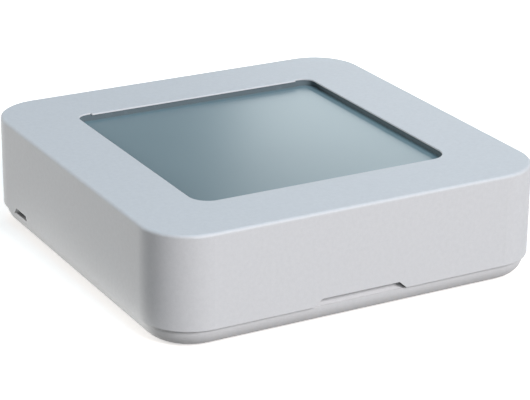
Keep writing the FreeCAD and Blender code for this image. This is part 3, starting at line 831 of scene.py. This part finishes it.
# %% Crystal
FLANGE = 0.18 * MM
FLANGE_ROUND = 0.05 * MM
LID_INSET = 0.16 * MM
LID_ROUND = 0.18 * MM
crystal_low, crystal_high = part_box("crystal")
bm = bmesh.new()
add_block(bm, Vector((crystal_low.x, crystal_low.y, crystal_high.z - FLANGE)), crystal_high, FLANGE_ROUND)
add_block(bm, crystal_low + Vector((LID_INSET, LID_INSET, 0)),
          crystal_high - Vector((LID_INSET, LID_INSET, FLANGE / 2)), LID_ROUND)
crystal_can = finish_piece("crystal_can", bm, [lid_steel], "housing")
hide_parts("crystal")

# %% [markdown]
# The leaf that touches the middle of the coin cell is a strip of spring metal. It leaves the board
# flat, bends down in a smooth S and ends in a little upturned toe. A grid is laid over its outline,
# lifted by a formula, and given its thickness by a solidify operator. The thickness makes it a
# touch too tall where it slopes, so it is pressed back into its box at the end.

# %% Negative leaf
LEAF_SHEET = 0.15 * MM
LEAF_TAPER = 0.30
TOUCH_SHARE = 0.2
FOOT_SHARE = 0.66
TOE_CURL = 1.4
leaf_low, leaf_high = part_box("negative_contact")
leaf_length = leaf_high.x - leaf_low.x
leaf_middle = (leaf_low + leaf_high) / 2
touch_x = leaf_low.x + TOUCH_SHARE * leaf_length
foot_x = leaf_low.x + FOOT_SHARE * leaf_length


def leaf_height(x):
    """The upper face of the sheet: foot at the board, toe at the cell."""
    low, high = leaf_low.z + LEAF_SHEET, leaf_high.z
    part = min(1.0, max(0.0, (x - touch_x) / (foot_x - touch_x)))
    height = low + (high - low) * part * part * (3 - 2 * part)
    if x < touch_x:
        height += TOE_CURL * (touch_x - x) ** 2 / leaf_length
    return height


bm = bmesh.new()
outline_size = Matrix.Diagonal((leaf_length, leaf_high.y - leaf_low.y, 1.0, 1.0))
place = Matrix.Translation((leaf_middle.x, leaf_middle.y, 0)) @ outline_size
bmesh.ops.create_grid(bm, x_segments=40, y_segments=8, size=0.5, matrix=place)
for v in bm.verts:
    along = (foot_x - v.co.x) / (foot_x - leaf_low.x)
    narrow = 1.0 - LEAF_TAPER * max(0.0, along)
    v.co.y = leaf_middle.y + (v.co.y - leaf_middle.y) * narrow
    v.co.z = leaf_height(v.co.x)
bmesh.ops.recalc_face_normals(bm, faces=bm.faces)
bmesh.ops.solidify(bm, geom=bm.faces[:], thickness=LEAF_SHEET)
lowest = min(v.co.z for v in bm.verts)
highest = max(v.co.z for v in bm.verts)
squeeze = (leaf_high.z - leaf_low.z) / (highest - lowest)
for v in bm.verts:
    v.co.z = leaf_low.z + (v.co.z - lowest) * squeeze
leaf = finish_piece("leaf_contact", bm, [spring_nickel], "housing", smooth=True)
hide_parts("negative_contact")

# %% [markdown]
# ## Print, solder and terminals on the board
#
# White print marks the outlines of the pieces and the plus side of the cell. Each line is a very
# thin plate that just sinks into the board, so no gap shows. The board's lower face carries them.

# %% Board print
PRINT = 0.02 * MM
LINE = 0.16 * MM
SINK = 0.01 * MM
CHIP_MARGIN = 0.35 * MM
SMALL_CHIP_MARGIN = 0.30 * MM
CELL_RING = (0.35 * MM, 0.55 * MM)
PLUS_ARM = 0.7 * MM
PLUS_PLACE = (0.35, 1.08)        # east and north of the cell, in radii of its holder
DOT_RADIUS = 0.18 * MM
DOT_FROM_CORNER = Vector((-0.75 * MM, 0.1 * MM, 0))
under = board_low.z


def print_finish():
    f = Finish("board_print")
    screen = f.noise(0.09 * MM, 2.0, 0.6)
    return f.surface(Base_Color=f.blend(screen * 0.4, grey(0.78), grey(0.62)), Roughness=0.6,
                     Normal=f.bump(screen, 0.004 * MM, 0.5))


def add_plate(bm, x0, y0, x1, y1):
    """A printed plate on the underside of the board."""
    add_block(bm, Vector((x0, y0, under - PRINT)), Vector((x1, y1, under + SINK)))


def outline(bm, low, high, margin):
    """Four printed lines round a box, on the underside of the board."""
    x0, x1 = low.x - margin, high.x + margin
    y0, y1 = low.y - margin, high.y + margin
    for a, b in (((x0, y0), (x1, y0)), ((x1, y0), (x1, y1)), ((x0, y1), (x1, y1)), ((x0, y0), (x0, y1))):
        add_plate(bm, a[0] - LINE / 2, a[1] - LINE / 2, b[0] + LINE / 2, b[1] + LINE / 2)


bm = bmesh.new()
for node in ("microcontroller", "crystal", "set_switch", "chip_antenna", "gas_sensor", "humidity_sensor"):
    outline(bm, *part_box(node), CHIP_MARGIN)
for node in ("chip_capacitors", "chip_resistors"):
    for low, high in solid_boxes(node):
        outline(bm, low, high, SMALL_CHIP_MARGIN)

holder_low, holder_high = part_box("cell_holder")
holder_radius = (holder_high.x - holder_low.x) / 2
ring_inner, ring_outer = (holder_radius + gap for gap in CELL_RING)
add_ring(bm, Vector((cell_centre.x, cell_centre.y, under - PRINT)), ring_inner, ring_outer, PRINT + SINK)
plus_x = cell_centre.x + PLUS_PLACE[0] * holder_radius
plus_y = cell_centre.y + PLUS_PLACE[1] * holder_radius
for half_x, half_y in ((PLUS_ARM, LINE), (LINE, PLUS_ARM)):
    add_plate(bm, plus_x - half_x, plus_y - half_y, plus_x + half_x, plus_y + half_y)
processor_low, processor_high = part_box("microcontroller")
first_corner = Vector((processor_low.x, processor_high.y, under - PRINT))
add_disc(bm, first_corner + DOT_FROM_CORNER, DOT_RADIUS, PRINT + SINK)
finish_piece("board_print", bm, [print_finish()], "housing")

# %% [markdown]
# Each end of a small chip stands on a gold pad, and a fillet of tin climbs from the pad up the end.
# A fillet is a block whose outer edge is pushed down to the pad.

# %% Pads and fillets of the small chips
PAD = 0.03 * MM
PAD_REACH = 0.26 * MM
PAD_SIDE = 0.05 * MM
FILLET_REACH = 0.22 * MM
FILLET_HEIGHT = 0.34 * MM
GOLD, TIN = 0, 1


def gold_finish():
    f = Finish("board_gold")
    tarnish = f.noise(0.3 * MM, 3.0, 0.6)
    return f.surface(Base_Color=f.blend(tarnish, (0.86, 0.66, 0.30), (0.70, 0.52, 0.24)), Metallic=1.0,
                     Roughness=0.26 + tarnish * 0.15)


def fillet(bm, cap_low, cap_high, way, side):
    """A tin wedge from the board up a chip's end. side is -1 or 1 along the chip's long way."""
    low, high = cap_low.copy(), cap_high.copy()
    if side < 0:
        low[way], high[way] = cap_low[way] - FILLET_REACH, cap_low[way] + SINK
    else:
        low[way], high[way] = cap_high[way] - SINK, cap_high[way] + FILLET_REACH
    low.z = under - FILLET_HEIGHT
    high.z = under + SINK
    outer = low[way] if side < 0 else high[way]
    for v in add_block(bm, low, high, material=TIN):
        if abs(v.co[way] - outer) < SINK and v.co.z < under:
            v.co.z = under - PAD


def gold_pad(bm, cap_low, cap_high, way, side):
    """A gold plate under a chip's end that reaches out past it."""
    low = Vector((cap_low.x - PAD_SIDE, cap_low.y - PAD_SIDE, under - PAD))
    high = Vector((cap_high.x + PAD_SIDE, cap_high.y + PAD_SIDE, under + SINK))
    low[way] = cap_low[way] - (PAD_REACH if side < 0 else 0)
    high[way] = cap_high[way] + (PAD_REACH if side > 0 else 0)
    add_block(bm, low, high, material=GOLD)


pads = bmesh.new()
for node in ("chip_capacitors", "chip_resistors"):
    for low, high in solid_boxes(node):
        way = chip_way(low, high)
        for side, (cap_low, cap_high) in zip((-1, 1), end_caps(low, high)):
            fillet(pads, cap_low, cap_high, way, side)
            gold_pad(pads, cap_low, cap_high, way, side)
print("small chips soldered:", len(pads.faces), "faces")

# %% [markdown]
# The processor has twelve terminals along each of its four sides: a gold pad under each, and a short
# foot of tin on it. Quarter turns carry each one from its side to the other three. The switch stands
# on four tin feet, and a row of round test pads lies along the front of the board.

# %% Terminals, switch feet and test pads
TERMINALS = 12
FREE_PITCHES = 1.5
TERMINAL_HALF = 0.12 * MM
TERMINAL_OUT = 0.06 * MM
terminal_pad = (0.22 * MM, PAD, GOLD)
terminal_foot = (0.08 * MM, 0.22 * MM, TIN)
pitch = (processor_high.x - processor_low.x) / (TERMINALS + FREE_PITCHES)
processor_centre = (processor_low + processor_high) / 2
processor_half = (processor_high.x - processor_low.x) / 2
for i in range(TERMINALS):
    along = (i - (TERMINALS - 1) / 2) * pitch
    for quarter in range(4):
        turn = quarter * math.pi / 2
        out = Matrix.Rotation(turn, 3, "Z") @ Vector((processor_half + TERMINAL_OUT, along, 0))
        spot = Vector((processor_centre.x + out.x, processor_centre.y + out.y, under))
        for reach, rise, kind in (terminal_pad, terminal_foot):
            size = Vector((reach, TERMINAL_HALF, 0))
            add_block(pads, spot - size - Vector((0, 0, rise)), spot + size + Vector((0, 0, SINK)),
                      material=kind, turn=turn)

FOOT_FROM_CORNER = 0.8 * MM
FOOT_HALF = Vector((0.45 * MM, 0.3 * MM, 0))
FOOT_HEIGHT = 0.12 * MM
FOOT_ROUND = 0.04 * MM
switch_low, switch_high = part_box("set_switch")
for x in (switch_low.x, switch_high.x):
    for y in (switch_low.y + FOOT_FROM_CORNER, switch_high.y - FOOT_FROM_CORNER):
        foot = Vector((x, y, under))
        add_block(pads, foot - FOOT_HALF - Vector((0, 0, FOOT_HEIGHT)),
                  foot + FOOT_HALF + Vector((0, 0, SINK)), FOOT_ROUND, TIN)

TEST_PADS = 6
TEST_PITCH = 2.0 * MM
TEST_RADIUS = 0.55 * MM
TEST_FROM_FRONT = 2.6 * MM
for i in range(TEST_PADS):
    across = cell_centre.x + (i - (TEST_PADS - 1) / 2) * TEST_PITCH
    spot = Vector((across, board_low.y + TEST_FROM_FRONT, under - PAD))
    add_disc(pads, spot, TEST_RADIUS, PAD + SINK)
finish_piece("board_pads", pads, [gold_finish(), solder_tin], "housing")

# %% [markdown]
# ## Floor
#
# The monitor lies on a plain pale floor that runs out of view on all sides. It glows a little, so
# that it stays nearly white without a lamp of its own. It is hidden from diffuse rays, so that the
# glow doesn't light the monitor's sides.

# %% Floor
FLOOR_HALF = 3.0
FLOOR_GLOW = 0.50


def pale_floor():
    f = Finish("pale_floor")
    tone = f.noise(60 * MM, 2.0, 0.5)
    return f.surface(Base_Color=f.blend(tone, (0.96, 0.91, 0.86), (0.95, 0.90, 0.85)), Roughness=0.7,
                     Specular_IOR_Level=0.2, Emission_Color=(1.0, 1.0, 1.0), Emission_Strength=FLOOR_GLOW)


bm = bmesh.new()
bmesh.ops.create_grid(bm, x_segments=1, y_segments=1, size=FLOOR_HALF)
floor_mesh = bpy.data.meshes.new("floor")
bm.to_mesh(floor_mesh)
bm.free()
floor_mesh.materials.append(pale_floor())
floor = bpy.data.objects.new("floor", floor_mesh)
bpy.context.scene.collection.objects.link(floor)
floor.visible_diffuse = False
print("floor:", 2 * FLOOR_HALF, "m square")

# %% [markdown]
# ## Lights
#
# Three big soft boxes light the monitor. One stands in front. A stronger one lies low behind it and
# grazes the left side, so the round corner between the two near sides falls into a soft dark band.
# The third hangs overhead, and its blue tint cools the face. A small card behind the right side
# gives the display part of its sheen, the rest being painted sheen in the film's colour, and a tiny
# strip by the left side stands for light that a white table throws up.

# %% Lights and world
BOX_DISTANCE = 1.2


def soft_box(name, azimuth, elevation, distance, size, power, tint):
    """An area light aimed at the monitor. Azimuth 0 is in front of it, 90 to its right."""
    a, e = math.radians(azimuth), math.radians(elevation)
    towards = Vector((math.sin(a) * math.cos(e), -math.cos(a) * math.cos(e), math.sin(e)))
    lamp = bpy.data.lights.new(name, "AREA")
    lamp.shape = "RECTANGLE"
    lamp.size, lamp.size_y = size
    lamp.energy = power
    lamp.color = tint
    box = bpy.data.objects.new(name, lamp)
    box.location = towards * distance
    box.rotation_euler = towards.to_track_quat("Z", "Y").to_euler()
    box.visible_camera = False
    bpy.context.scene.collection.objects.link(box)
    return box


soft_box("front_box", azimuth=12, elevation=32, distance=BOX_DISTANCE, size=(0.4, 0.5),
         power=13.8, tint=(0.99, 0.97, 1.0))
left_box = soft_box("left_box", azimuth=-156, elevation=5, distance=BOX_DISTANCE, size=(0.4, 0.5),
                    power=18.4, tint=(1.0, 0.99, 0.98))
left_box.visible_glossy = False
soft_box("top_box", azimuth=20, elevation=84, distance=BOX_DISTANCE, size=(0.8, 0.8),
         power=3.5, tint=(0.22, 0.66, 1.0))
soft_box("display_card", azimuth=131, elevation=10, distance=0.21, size=(0.16, 0.12),
         power=0.105, tint=(0.97, 1.0, 1.0))
soft_box("floor_glow", azimuth=-86, elevation=2.0, distance=31.5 * MM, size=(44 * MM, 1.2 * MM),
         power=0.00026, tint=(1.0, 1.0, 0.98))

WORLD_TINT = (0.96, 0.98, 1.0, 1.0)
WORLD_STRENGTH = 0.20
world = bpy.data.worlds.new("studio")
world.use_nodes = True
background = world.node_tree.nodes["Background"]
background.inputs["Color"].default_value = WORLD_TINT
background.inputs["Strength"].default_value = WORLD_STRENGTH
bpy.context.scene.world = world
bpy.context.scene.view_settings.view_transform = "Standard"

# %% [markdown]
# ## Camera
#
# The camera stands front left, about 21 degrees up and a little over five case widths away, with a
# long lens. Its place is worked out from the case's width, so it would follow a bigger case. It is
# tilted by half a degree and moved a little sideways, as a hand-held camera would be.

# %% Camera
view_azimuth = math.radians(-28.9115)
view_elevation = math.radians(21.3049)
view_roll = math.radians(0.498)
view_distance = 5.1245 * case_width
pan_right = 0.01614 * case_width
pan_up = -0.05149 * case_width
aim = Vector((0, 0, case_high.z - 0.11 * case_width))
SENSOR = 36.0
LENS_IN_SENSORS = 4.006

back = Vector((math.sin(view_azimuth) * math.cos(view_elevation),
               -math.cos(view_azimuth) * math.cos(view_elevation), math.sin(view_elevation)))
level_right = Vector((0, 0, 1)).cross(back).normalized()
level_up = back.cross(level_right)
right = level_right * math.cos(view_roll) + level_up * math.sin(view_roll)
up = level_up * math.cos(view_roll) - level_right * math.sin(view_roll)

camera_data = bpy.data.cameras.new("camera")
camera_data.sensor_width = SENSOR
camera_data.lens = SENSOR * LENS_IN_SENSORS
camera_data.clip_start = 0.01
camera = bpy.data.objects.new("camera", camera_data)
eye = aim + back * view_distance + level_right * pan_right + level_up * pan_up
facing = Matrix((right, up, back)).transposed().to_4x4()
camera.matrix_world = Matrix.Translation(eye) @ facing
bpy.context.scene.collection.objects.link(camera)
bpy.context.scene.camera = camera
print("camera at mm:", [round(x / MM, 1) for x in eye], "lens mm:", round(camera_data.lens, 1))
